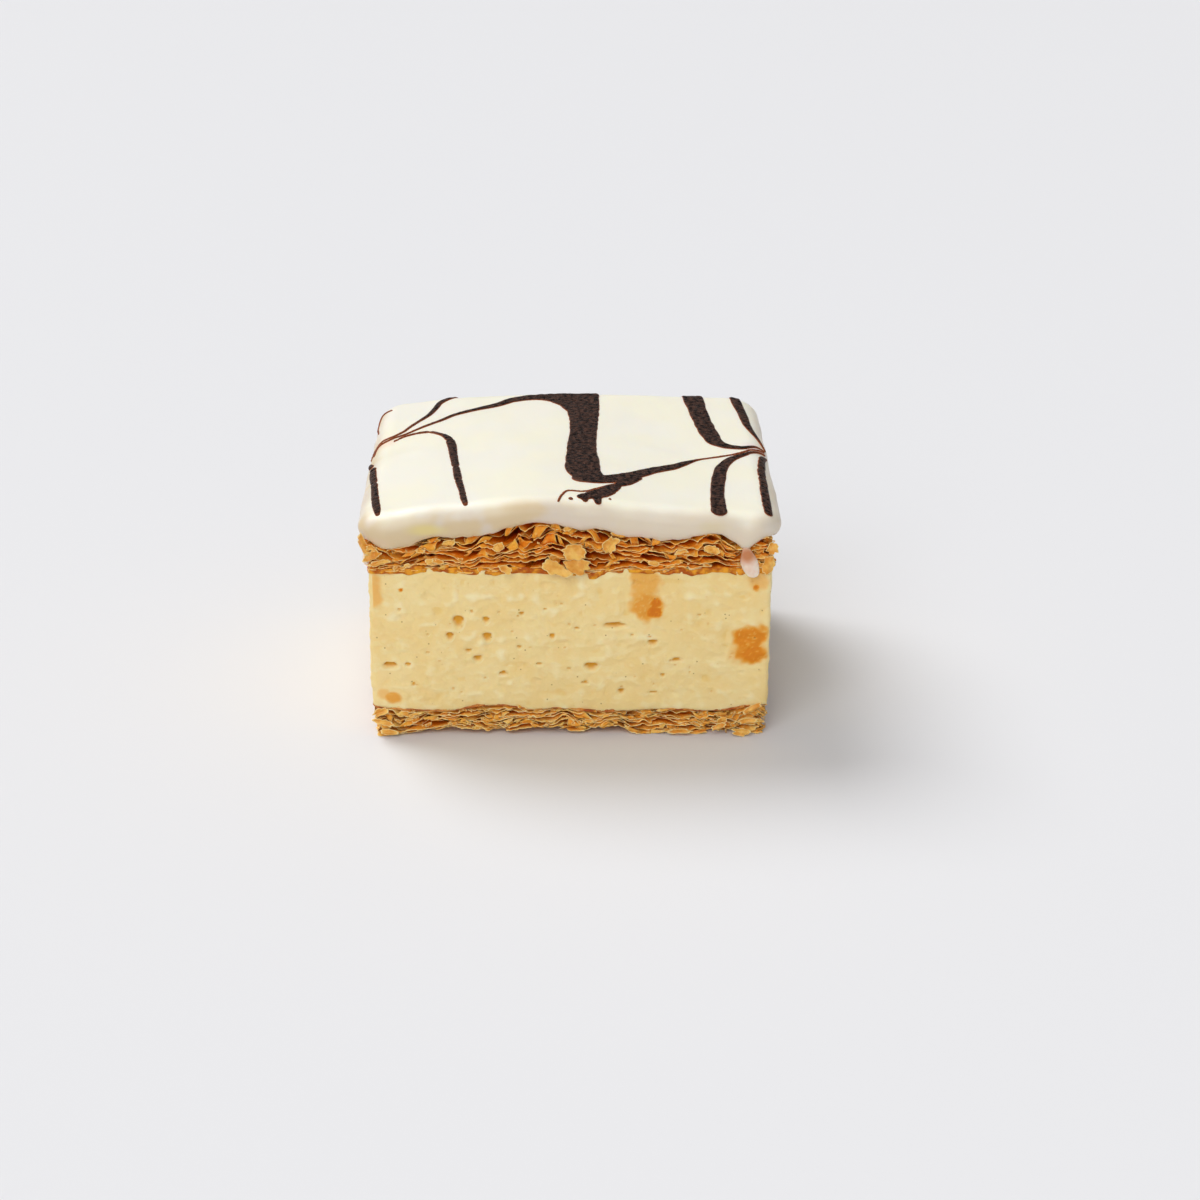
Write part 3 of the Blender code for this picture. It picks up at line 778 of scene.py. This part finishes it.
# Soaked crumbs in the cut faces: side, place along it, height, half width, half height, strength
STAINS = [(0, 15.0, 31.2, 3.7, 7.4, 0.6), (0, 15.7, 28.8, 3.9, 4.0, 0.76), (0, 17.2, 29.1, 1.3, 1.1, 1.25),
          (0, 16.9, 26.9, 1.7, 1.3, 1.25), (0, 36.0, 21.4, 3.8, 2.9, 0.98), (0, 36.8, 17.6, 3.1, 2.6, 1.04),
          (0, 36.2, 19.6, 4.2, 5.2, 0.45), (0, 37.0, 32.0, 0.7, 0.8, 1.1), (0, 37.6, 33.6, 2.3, 2.5, 0.45),
          (0, -36.0, 8.7, 1.7, 1.3, 0.7), (0, -37.8, 9.6, 1.6, 1.6, 0.4), (0, -38.8, 31.4, 1.7, 5.0, 0.5),
          (0, -33.6, 32.0, 0.4, 0.3, 1.2), (1, -21.0, 27.0, 2.6, 3.2, 0.75), (1, 14.0, 12.0, 3.2, 1.8, 0.9),
          (1, 25.0, 32.5, 2.0, 2.2, 0.6), (2, -24.0, 16.0, 3.4, 2.4, 0.85), (2, 6.0, 31.5, 2.6, 3.0, 0.7),
          (2, 27.0, 24.0, 1.5, 1.2, 1.1), (3, 8.0, 22.0, 2.8, 3.4, 0.8), (3, -18.0, 31.0, 2.2, 3.0, 0.6),
          (3, 22.0, 10.5, 2.2, 1.3, 1.0)]


centre, facing, along = walk_round(CUSTARD_COLUMNS, CUSTARD_HALF, CUSTARD_CORNER)
centre *= CUSTARD_HALF - CUSTARD_CORNER
edge = centre + facing * CUSTARD_CORNER
foot = round_the_sides(BASE_TOP, edge, facing) - 0.35
head = round_the_sides(LID_FOOT, edge, facing) + 0.15
caps = [16, 9, 4, 1.6, 0.5]
custard, column, ring = raise_walls("custard_block", CUSTARD_COLUMNS, CUSTARD_ROWS + 2 * len(caps))
row = np.clip(ring - len(caps), 0, CUSTARD_ROWS - 1) / (CUSTARD_ROWS - 1)
height = foot[column] + (head - foot)[column] * row
cap = np.array(caps + [0] * CUSTARD_ROWS + caps[::-1])[ring]
wall = cap == 0
sides = 2 * (CUSTARD_HALF - CUSTARD_CORNER)
turn_run = CUSTARD_CORNER * math.pi / 2
perimeter = 2 * sides.sum() + 4 * turn_run
middles = [sides[0] / 2, sides[0] + turn_run + sides[1] / 2, sides[0] * 1.5 + sides[1] + 2 * turn_run,
           2 * sides[0] + sides[1] * 1.5 + 3 * turn_run]
run = along[column]
at = np.c_[edge[column], height]
pressed = np.zeros(len(run))
pressed[wall] = (0.20 * uneven(at[wall], 13, 31) + 0.16 * uneven(at[wall] * (1, 1, 1.4), 4.2, 32)
                 + 0.11 * uneven(at[wall] * (1, 1, 1.2), 1.8, 33) + 0.035 * uneven(at[wall], 0.85, 34))
# Painted light and shade of the cut face's relief: lighter where the face stands out, darker in its dips, and a painted
# highlight along the lower rim of each pit.
relief_light_and_shade = np.zeros(len(run))
relief_light_and_shade[wall] = -0.5 * uneven(at[wall] * (1, 1, 1.4), 4.2, 32) - 0.5 * uneven(at[wall] * (1, 1, 1.2), 1.8, 33)
drawn = uneven(at[wall] * (0.25, 0.25, 2.2), 2.4, 35)
pressed[wall] -= 0.13 * np.clip(1 - np.abs(drawn) / 0.16, 0, 1) * stepped(-0.1, 0.4, uneven(at[wall], 9, 36))
pits = [(middles[0] + place, high, wide, tall, 1.0) for place, high, wide, tall in PITS]
dice = np.random.default_rng(41)
for side in (1, 2, 3):
    for _, _, wide, tall in PITS:
        place = dice.uniform(-0.46, 0.46) * sides[side % 2]
        pits.append((middles[side] + place, dice.uniform(9.5, 31.5), wide, tall, 1.0))
for _ in range(260):
    pits.append((dice.uniform(0, perimeter), dice.uniform(8.5, 34), dice.uniform(0.45, 0.9), dice.uniform(0.3, 0.6), 1.0))
for _ in range(170):
    pits.append((dice.uniform(0, perimeter), dice.uniform(8, 35), dice.uniform(1.4, 3.4), dice.uniform(0.6, 1.3), 0.24))
# Painted shade in the pits: their insides take a deeper golden colour, fullest under the upper edge.
pit_shade = np.zeros(len(run))
for place, high, wide, tall, share in pits:
    near = np.flatnonzero(wall & (np.abs(run - place) < wide) & (np.abs(height - high) < 1.6 * tall + 0.3))
    right, up = (run[near] - place) / (wide / 2), (height[near] - high) / (tall / 2)
    up = np.where(up < 0, up * 0.72, up) + 0.3 * right**2 * np.sign(wide - 2 * tall)
    away = np.hypot(right, up)
    bowl = np.where(up > 0, 1 - stepped(0.72, 1.08, away), 1 - stepped(0.1, 1.25, away))
    deep = 0.42 * share * min(wide, 2.2 * tall)
    pit_shade[near] = np.maximum(pit_shade[near], bowl * share * min(1, deep / 0.5))
    rim = np.exp(-(((away - 1.3) / 0.25) ** 2)) * (deep > 0.3)
    pressed[near] += deep * bowl - 0.06 * rim * (up < 0.4)
    # Painted highlight on the lower rim of the pit.
    relief_light_and_shade[near] = np.maximum(relief_light_and_shade[near], 0.6 * rim * (up < 0))
stain = np.zeros(len(run))
warp = 0.26 * uneven(at, 3.2, 37) + 0.14 * uneven(at, 1.2, 38)
for side, place, high, wide, tall, strength in STAINS:
    away = np.hypot((run - middles[side] - place) / wide, (height - high) / tall)
    stain = np.maximum(stain, strength * (1 - stepped(0.55, 1.30, away + warp)) * wall)
crossed = uneven(at @ np.array([[0.9, 0, 0.25], [0, 0.9, 0.25], [-1.3, -1.3, 2.6]]), 2.0, 39)
crease = stepped(0.45, 0.9, stain) * np.clip(1 - np.abs(crossed) / 0.14, 0, 1)
pressed += 0.10 * stepped(0.45, 0.9, stain) - 0.20 * crease
stain -= 0.35 * crease
edges = np.exp(-row * 30) + np.exp(-(1 - row) * 40)
pressed += 0.25 * edges + cap
flat = centre[column] * (1 - np.clip(cap - 0.4, 0, None) / CUSTARD_HALF.min())[:, None]
flat += facing[column] * (CUSTARD_CORNER - np.minimum(pressed, 0.9))[:, None]
move_corners(custard, np.c_[flat, height])
give_value(custard, "pit_shade", pit_shade)
give_value(custard, "stain", stain)
give_value(custard, "relief_light_and_shade", relief_light_and_shade)
custard.data.shade_smooth()

set_custard, tree, shader = finish_of("set_custard", 0.36, 0.3)
place = place_mm(tree)
cream = blend(tree, reach(tree, clouds(tree, place, 9), 0.35, 0.65), colour(248, 222, 158), colour(246, 216, 147))
cream = blend(tree, reach(tree, clouds(tree, place_mm(tree, (1, 1, 1.6)), 3.0, 3.0), 0.50, 0.72, 0.0, 0.6), cream, colour(251, 230, 172))
# Painted light on the relief's raised parts and painted shade in its dips.
cream = blend(tree, reach(tree, stored(tree, "relief_light_and_shade"), 0.1, 1.1), cream, colour(254, 236, 186))
cream = blend(tree, reach(tree, stored(tree, "relief_light_and_shade"), -1.0, -0.2, 0.6, 0.0), cream, colour(241, 203, 118))
# Painted shade inside the pits.
cream = blend(tree, reach(tree, stored(tree, "pit_shade"), 0.15, 1.0), cream, colour(226, 164, 46))
soaked = stored(tree, "stain")
cream = blend(tree, reach(tree, soaked, 0.05, 0.7), cream, colour(240, 178, 80))
cream = blend(tree, reach(tree, soaked, 0.55, 0.95), cream, colour(232, 146, 26))
cream = blend(tree, reach(tree, soaked, 0.85, 1.2), cream, colour(222, 124, 0))
seeds = tree.nodes.new("ShaderNodeTexVoronoi")
seeds.inputs["Scale"].default_value = 0.42
feed(tree, seeds.inputs["Vector"], place)
cream = blend(tree, reach(tree, seeds.outputs["Distance"], 0.04, 0.09, 0.7, 0.0), cream, colour(160, 122, 60))
feed(tree, shader.inputs["Base Color"], cream)
feed(tree, shader.inputs["Roughness"], reach(tree, clouds(tree, place, 2.2), 0.3, 0.7, 0.30, 0.44))
shader.inputs["Subsurface Weight"].default_value = 0.25
shader.inputs["Subsurface Radius"].default_value = (1.0, 0.75, 0.35)
shader.inputs["Subsurface Scale"].default_value = 1.5 * MM
roughen(tree, shader, place, 1.5, 0.45, 0.4, 0.20)
custard.data.materials.append(set_custard)
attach(custard, "root")
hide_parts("custard")

# ---------------------------------------------------------------------------------------------
# The soaked leaves. Where the pastry lies on the custard its outermost leaf has drunk from it: it
# has turned to a smooth amber band, swollen in places, that sags a little over the cut custard.

SOAK_TURNS = [-90, -66, -42, -20, 0, 20, 42, 66, 90]
SOAK_INSETS = [12, 5, 1.6, 0.7]


def soak_leaf(name, half, foot, deep, sag, seed):
    """A swollen leaf round a stack, deep mm high above its foot, that sags in drops up to sag mm."""
    centre, facing, _ = walk_round(LEAF_COLUMNS, half, LEAF_CORNER)
    centre *= half - LEAF_CORNER
    edge = centre + facing * LEAF_CORNER
    flat = np.c_[edge, np.zeros(LEAF_COLUMNS)]
    band, column, ring = raise_walls(name, LEAF_COLUMNS, 2 * len(SOAK_INSETS) + len(SOAK_TURNS))
    high = deep * np.clip(1 + 0.5 * uneven(flat, 4, seed) + 0.25 * uneven(flat, 1.4, seed + 5), 0.25, None)
    low = round_the_sides(foot, edge, facing) - sag * np.clip(uneven(flat, 4.2, seed + 1), 0, None) ** 1.5
    low -= 0.10 * uneven(flat, 1.1, seed + 2)
    top = round_the_sides(foot, edge, facing) + high
    bulge = 0.14 + 0.16 * uneven(flat, 3, seed + 3) + 0.10 * uneven(flat, 0.9, seed + 4)
    rings = []
    for inset in SOAK_INSETS:
        rings.append(np.c_[centre * (1 - inset / half.min()) + facing * (LEAF_CORNER - 0.3), low + 0.05])
    for turn in np.radians(SOAK_TURNS):
        out = LEAF_CORNER - 0.35 + bulge * max(0, math.cos(turn)) ** 0.7
        rings.append(np.c_[centre + facing * out[:, None], (low + top) / 2 + (top - low) / 2 * math.sin(turn)])
    for inset in SOAK_INSETS[::-1]:
        rings.append(np.c_[centre * (1 - inset / half.min()) + facing * (LEAF_CORNER - 0.3), top - 0.05])
    move_corners(band, np.array(rings)[ring, column])
    band.data.shade_smooth()
    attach(band, "root")
    return band


lid_soaked = soak_leaf("lid_soaked_leaf", CUSTARD_HALF + 0.25, [(x, z - 0.75) for x, z in LID_FOOT], 1.0, 1.3, 90)
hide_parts("lid_pastry")
base_soaked = soak_leaf("base_soaked_leaf", BASE_HALF + 0.15, [(x, z - 0.5) for x, z in BASE_TOP], 0.45, 0.1, 95)
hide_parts("base_pastry")
for band, light, dark in ((lid_soaked, (244, 168, 36), (180, 86, 0)), (base_soaked, (226, 150, 70), (164, 80, 22))):
    amber, tree, shader = finish_of(band.name + "_finish", 0.28, 0.25)
    place = place_mm(tree)
    feed(tree, shader.inputs["Base Color"], blend(tree, reach(tree, clouds(tree, place, 1.8, 3.0), 0.36, 0.64), colour(*light), colour(*dark)))
    shader.inputs["Subsurface Weight"].default_value = 0.4
    shader.inputs["Subsurface Radius"].default_value = (1.0, 0.5, 0.15)
    shader.inputs["Subsurface Scale"].default_value = 1.2 * MM
    roughen(tree, shader, place, 0.8, 0.3, 0.4, 0.12)
    band.data.materials.append(amber)

# ---------------------------------------------------------------------------------------------
# Scraps and flakes. Cutting shatters the leaves: scraps of the broken sheets stand between their
# rims and close the hollows in places, and loose flakes and crumbs cling to the cut sides.

SCRAP_THICK = 0.11


def strew(name, count, across, along):
    """Copies of one small sheet. Gives each corner's copy number, its place over the sheet from -1 to 1, and its side."""
    deselect_all()
    bpy.ops.mesh.primitive_grid_add(x_subdivisions=across, y_subdivisions=along, size=2)
    sheet = bpy.context.object
    sheet.name = sheet.data.name = name
    for kind, settings in (("SOLIDIFY", {"thickness": 1.0, "offset": 0.0}),
                           ("ARRAY", {"count": count, "use_relative_offset": False, "use_constant_offset": True,
                                      "constant_offset_displace": (8, 0, 0)})):
        modifier = sheet.modifiers.new(kind, kind)
        for setting, value in settings.items():
            setattr(modifier, setting, value)
        bpy.ops.object.modifier_apply(modifier=kind)
    at = corners_of(sheet)
    copy = np.rint(at[:, 0] / 8).astype(int)
    return sheet, copy, at[:, 0] - 8 * copy, at[:, 1], np.sign(at[:, 2])


def thicken(shape, over, up, side, thick):
    """Points of a sheet given by a function of its two directions, moved off it to its upper or lower side."""
    step = 0.02
    middle = shape(over, up)
    normal = np.cross(shape(over + step, up) - middle, shape(over, up + step) - middle)
    normal /= np.maximum(np.linalg.norm(normal, axis=1), 1e-9)[:, None]
    return middle + normal * (side * thick / 2)[:, None]


def scrap_between(name, stack, count, deepest, seed):
    """Scraps of broken leaf that stand between two leaves of a stack."""
    dice = np.random.default_rng(seed)
    plies = len(stack["gaps"])
    sheet, copy, over, up, side = strew(name, count, 5, 3)
    ply = dice.integers(0, plies, count)
    start = dice.integers(0, LEAF_COLUMNS, count)
    step = dice.uniform(0.35, 1.35, count)
    back = dice.uniform(0.3, deepest, count)
    bulge, slant, twist = dice.uniform(-0.8, 1.0, count), dice.uniform(-1.2, 1.2, count), dice.uniform(-1.0, 1.0, count)
    skew, taper = dice.uniform(-6, 6, count), dice.uniform(-0.7, 0.7, count)
    tall = np.where(dice.random(count) < 0.7, 1.0, dice.uniform(0.4, 0.8, count))
    shape_noise = dice.uniform(0, 6, (count, 3))

    def shape(over, up):
        columns = start[copy] + over * 4 * step[copy] * (1 + taper[copy] * up) + skew[copy] * up / 2
        low = np.floor(columns).astype(int)
        share = (columns - low)[:, None]
        rise = (up + 1) / 2
        inset = back[copy] + bulge[copy] * (1 - up**2) * 0.5 + slant[copy] * up * 0.5 + twist[copy] * over * 0.6
        inset += 0.12 * np.sin(5 * over + shape_noise[copy, 0]) + 0.08 * np.sin(7 * up + shape_noise[copy, 1])
        sides = []
        for columns in (low % LEAF_COLUMNS, (low + 1) % LEAF_COLUMNS):
            flat = leaf_points(stack, columns, np.clip(inset, 0.15, None))
            heights = leaf_heights(columns, inset, stack)
            every = np.arange(len(flat))
            under, above = heights[ply[copy], every], heights[ply[copy] + 1, every]
            sides.append(np.c_[flat, under + (above - under) * (rise * tall[copy] + 0.0)])
        lean = 0.25 * (1 - np.abs(over)) * np.sin(3 * up + shape_noise[copy, 2])
        placed = sides[0] * (1 - share) + sides[1] * share
        placed[:, 2] += lean * 0.3
        return placed

    move_corners(sheet, thicken(shape, over, up, side, SCRAP_THICK))
    give_value(sheet, "inset", (1 - np.abs(over)) * step[copy] + 0.15 * (tall[copy] == 1) * (1 - np.abs(over) > 0.2))
    give_value(sheet, "tone", dice.random(count)[copy])
    sheet.data.shade_smooth()
    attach(sheet, "root")
    return sheet


lid_scraps = scrap_between("lid_scraps", lid, 480, 1.9, 300)
lid_scraps.data.materials.append(lid_crisp)
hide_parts("lid_pastry")
base_scraps = scrap_between("base_scraps", base, 600, 1.1, 301)
base_scraps.data.materials.append(base_crisp)
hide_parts("base_pastry")

# Flakes that stick to the front: place, distance forward, height, width, height, turn and tilt in degrees, bend in mm
FRONT_FLAKES = [(0.9, 36.5, 40.3, 4.9, 3.0, 4, 12, 0.5), (1.4, 36.6, 37.4, 5.2, 3.1, -14, 6, -0.4),
                (-2.8, 36.6, 36.9, 5.6, 2.7, -32, 10, 0.5), (-12.7, 36.3, 36.7, 2.8, 1.5, -26, 10, 0.3),
                (7.9, 36.1, 41.7, 2.6, 4.0, -26, -14, 0.5), (28.0, 36.2, 40.6, 3.1, 1.7, -8, 10, 0.3),
                (9.9, 36.0, 43.9, 4.0, 1.6, -6, -30, -0.7), (39.3, 35.9, 37.2, 2.5, 3.7, -14, 4, -0.5),
                (-14.0, 36.1, 41.3, 2.2, 1.8, 30, 10, 0.3), (22.0, 36.2, 40.2, 2.4, 1.0, 16, -12, 0.3),
                (-26.0, 36.1, 38.4, 2.4, 1.0, -18, 14, 0.3),
                (-40.6, 35.4, 41.6, 1.5, 5.0, 22, 0, -0.5), (-39.0, 35.8, 39.6, 3.4, 2.0, 24, 6, 0.5),
                (-37.6, 35.9, 38.0, 4.2, 1.1, 14, 4, 0.3), (40.0, 35.6, 40.6, 2.2, 2.4, -30, 8, 0.5),
                (-38.4, 35.6, 5.6, 3.4, 1.5, 20, 4, 0.4), (-38.0, 35.7, 3.4, 4.2, 1.3, -16, 4, 0.4),
                (-36.8, 35.8, 1.2, 3.8, 1.2, -6, 20, 0.3), (36.8, 35.7, 6.0, 3.8, 1.4, 26, 6, 0.4),
                (35.8, 35.9, 3.4, 4.6, 1.1, 8, 6, 0.3), (34.6, 36.2, 1.0, 3.6, 1.6, -4, 34, 0.3),
                (22.0, 35.7, 1.0, 5.4, 0.9, 3, 26, 0.3), (30.0, 35.9, 2.1, 3.0, 1.2, 18, 10, 0.3)]


def lay_flakes(name, spots, cuts, seed):
    """Loose flakes of that many cuts a side, each at a spot: its middle, facing, width, height, turn, tilt and bend."""
    dice = np.random.default_rng(seed)
    count = len(spots)
    sheet, copy, over, up, side = strew(name, count, cuts, cuts)
    middle, ahead, width, tall, turn, tilt, bend = (np.array(part, float) for part in zip(*spots))
    lobes = dice.uniform(-1, 1, (count, 8))
    angles = np.radians(turn)
    tilts = np.radians(tilt)
    right = np.c_[-ahead[:, 1], ahead[:, 0], np.zeros(count)]
    out = np.c_[ahead, np.zeros(count)]
    upward = np.array([0, 0, 1.0]) * np.cos(tilts)[:, None] - out * np.sin(tilts)[:, None]
    outward = np.cross(right, upward)

    def shape(over, up):
        turned = np.arctan2(up, over)
        square = np.maximum(np.abs(over), np.abs(up)) / np.maximum(np.hypot(over, up), 1e-6)
        outline = 1.0
        for n in range(7):
            outline = outline + (0.12 - 0.012 * n) * lobes[copy, n] * np.arcsin(np.sin((1.5 * n + 2) // 1 * turned + 6 * lobes[copy, n - 1]))
        first, second = over * square**0.8 * outline, up * square**0.8 * outline
        wave = bend[copy] * (first**2 - 0.4) + 0.16 * np.sin(4 * second + 6 * lobes[copy, 5]) + 0.12 * np.sin(5 * first + 3 * lobes[copy, 6])
        wave += 0.25 * lobes[copy, 7] * first * second
        first, second = first * width[copy] / 2, second * tall[copy] / 2
        across = first * np.cos(angles[copy]) - second * np.sin(angles[copy])
        along = first * np.sin(angles[copy]) + second * np.cos(angles[copy])
        return middle[copy] + right[copy] * across[:, None] + upward[copy] * along[:, None] + outward[copy] * wave[:, None]

    move_corners(sheet, thicken(shape, over, up, side, 0.09))
    edge_near = 1 - np.maximum(np.abs(over), np.abs(up))
    give_value(sheet, "inset", edge_near * np.minimum(width, tall)[copy] / 2)
    give_value(sheet, "tone", dice.random(count)[copy])
    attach(sheet, "root")
    return sheet


front_spots = [((x, -y, z), (0, -1), wide, tall, turn, tilt, bend) for x, y, z, wide, tall, turn, tilt, bend in FRONT_FLAKES]
front_flakes = lay_flakes("front_flakes", front_spots, 12, 311)
front_flakes.data.shade_smooth()
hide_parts("lid_pastry")
spots = []
dice = np.random.default_rng(310)
for stack, low, high, count in ((lid, 0.02, 0.95, 150), (base, 0.05, 0.95, 130)):
    for column in dice.integers(0, LEAF_COLUMNS, count):
        facing = stack["facing"][column]
        middle = stack["edge"][column] + facing * dice.uniform(-0.6, 0.05)
        height = stack["foot"][column] + (stack["top"][column] - stack["foot"][column]) * dice.uniform(low, high)
        if stack is base and height < 1.2:
            continue
        wide = dice.choice([0.5, 0.8, 1.2, 2.0], p=[0.4, 0.3, 0.2, 0.1]) * dice.uniform(0.8, 1.3)
        spots.append(((*middle, height), tuple(facing), wide, wide * dice.uniform(0.3, 0.7), dice.uniform(-40, 40),
                      dice.uniform(-35, 25), wide * dice.uniform(-0.14, 0.16)))
flakes = lay_flakes("loose_flakes", spots, 4, 312)
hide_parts("lid_pastry")
pale, tree, shader = finish_of("loose_flake", 0.38, 0.35)
place = place_mm(tree)
patchy = sum_of(tree, "ADD", clouds(tree, place, 2.2, 3.0), sum_of(tree, "MULTIPLY", stored(tree, "tone"), 0.2))
face = blend(tree, reach(tree, patchy, 0.42, 0.74), colour(250, 196, 98), colour(226, 150, 50))
rim = colour(255, 222, 150)
feed(tree, shader.inputs["Base Color"], blend(tree, reach(tree, stored(tree, "inset"), 0.02, 0.16), rim, face))
shader.inputs["Subsurface Weight"].default_value = 0.12
shader.inputs["Subsurface Radius"].default_value = (0.8, 0.5, 0.2)
shader.inputs["Subsurface Scale"].default_value = 0.4 * MM
roughen(tree, shader, place, 0.8, 0.25, 0.5, 0.12)
front_flakes.data.materials.append(pale)
flakes.data.materials.append(pale)

# ---------------------------------------------------------------------------------------------
# The plain floor, the soft light from the back left and the camera.

deselect_all()
bpy.ops.mesh.primitive_plane_add(size=30.0)
floor = bpy.context.object
floor.name = floor.data.name = "floor"
table, tree, shader = finish_of("pale_floor", 0.75, 0.2)
shader.inputs["Base Color"].default_value = colour(230, 230, 232)
floor.data.materials.append(table)

scene = bpy.context.scene
scene.view_settings.view_transform = "Standard"
world = bpy.data.worlds.new("studio")
world.use_nodes = True
world.node_tree.nodes["Background"].inputs["Color"].default_value = colour(248, 248, 250)
world.node_tree.nodes["Background"].inputs["Strength"].default_value = 0.24
scene.world = world


def soft_sun(name, strength, width, tilt_x, tilt_y):
    """A distant soft light that shines down, tilted by degrees round X and then Y."""
    lamp = bpy.data.lights.new(name, "SUN")
    lamp.energy = strength
    lamp.angle = math.radians(width)
    light = bpy.data.objects.new(name, lamp)
    light.rotation_euler = (math.radians(tilt_x), math.radians(tilt_y), 0)
    scene.collection.objects.link(light)


soft_sun("key_light", 1.9, 35, -28, -32)
soft_sun("front_fill", 1.27, 50, 49, -20)
soft_sun("overhead", 0.38, 120, 0, 0)

lens = bpy.data.cameras.new("camera")
lens.lens = 72
lens.sensor_width = 36
camera = bpy.data.objects.new("camera", lens)
camera.location = (0, -0.4778, 0.2085)
camera.rotation_euler = (math.radians(68), 0, math.radians(-0.771))
scene.collection.objects.link(camera)
scene.camera = camera
